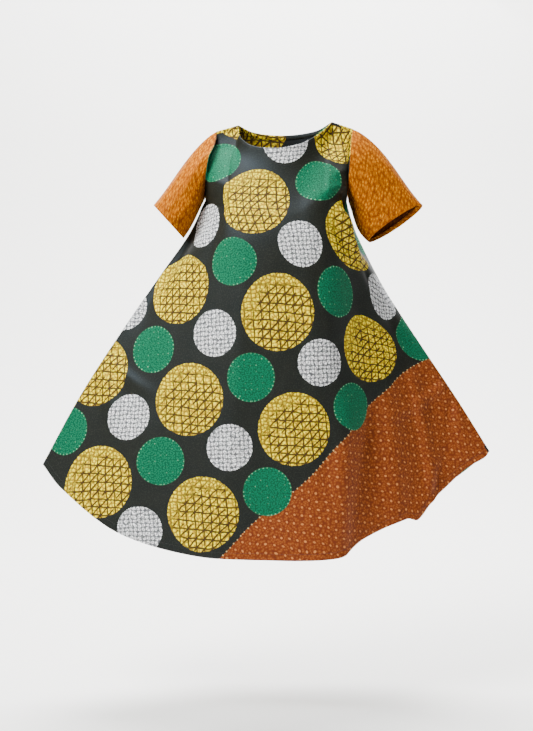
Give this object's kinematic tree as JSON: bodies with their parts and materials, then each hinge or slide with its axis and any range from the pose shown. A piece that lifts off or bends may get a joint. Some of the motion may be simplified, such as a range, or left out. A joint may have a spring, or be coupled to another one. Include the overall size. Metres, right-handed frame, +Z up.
{
  "type": "ankara wax print dress",
  "caption": "Flared knee-length wax print dress with a wide round neck and short set-in sleeves, in the hollow shape it takes when worn with its sides held out.",
  "frame": {"origin": "middle of the neck opening at the height of the neck points, where the dress rests on the shoulders", "axes": "+Z up, -Y the way the wearer's front looks, +X to the viewer's right"},
  "size_m": [1.1157, 0.3631, 1.0452],
  "materials": {
    "disc_print": "waxed cotton with a slight sheen, dark ground with gold, green and silver-white discs and an orange corner",
    "orange_print": "waxed cotton with a slight sheen, orange with pale spots",
    "sewing_thread": "matt cotton thread"
  },
  "bodies": {
    "root": {"front": "disc_print", "back": "disc_print", "sleeve_left": "orange_print", "sleeve_right": "orange_print"}
  },
  "joints": []
}
